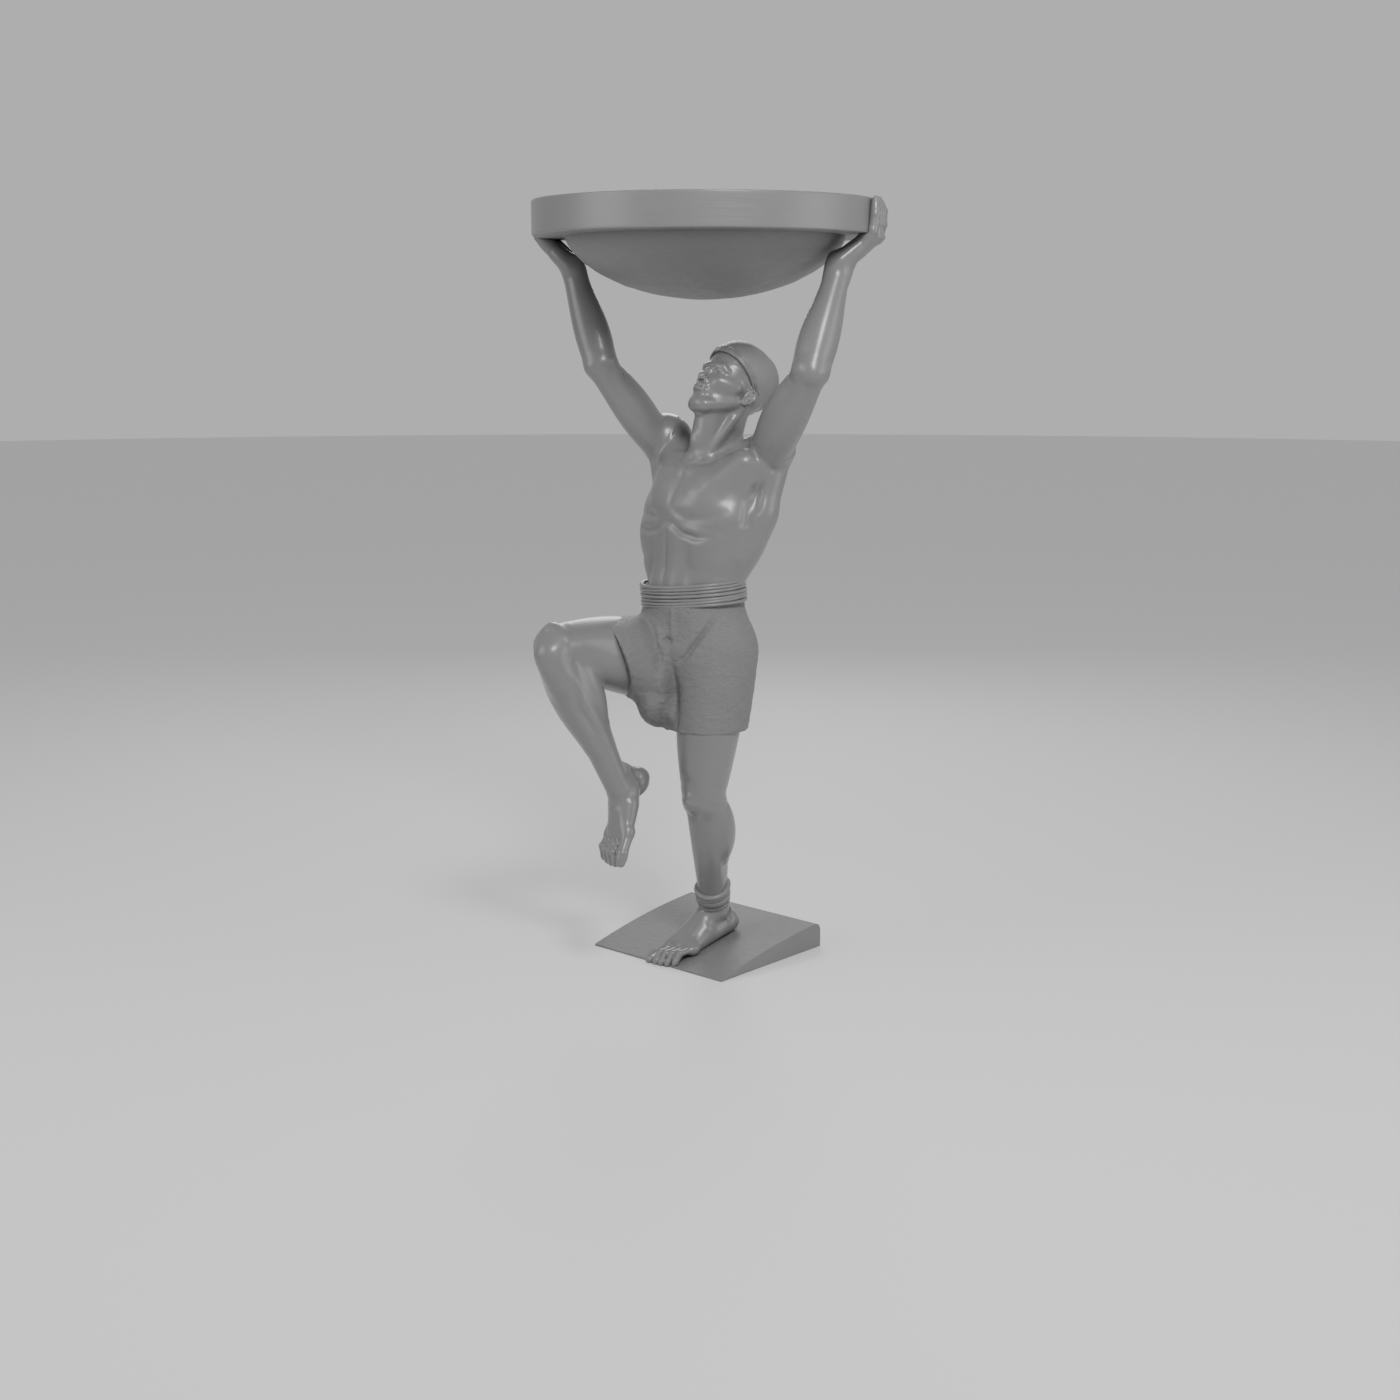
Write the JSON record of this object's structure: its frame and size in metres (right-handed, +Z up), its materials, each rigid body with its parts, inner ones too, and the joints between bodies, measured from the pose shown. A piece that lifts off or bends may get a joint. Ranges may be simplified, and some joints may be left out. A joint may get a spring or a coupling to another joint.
{
  "type": "atlas statue",
  "caption": "Life-size statue of a man in cap, shorts and cord belt, standing on one leg on a wedge plinth and lifting a broad shallow bowl overhead.",
  "frame": {"origin": "centre of the plinth's underside, on the ground", "axes": "+Z up; the man faces -Y, with his left side towards +X"},
  "size_m": [0.9334, 0.975, 2.097],
  "materials": {
    "figure": "semi-gloss grey",
    "bowl": "satin grey, hammered underneath",
    "plinth": "rough tooled grey"
  },
  "bodies": {
    "root": {"figure": "figure", "bowl": "bowl", "plinth": "plinth"}
  },
  "joints": []
}
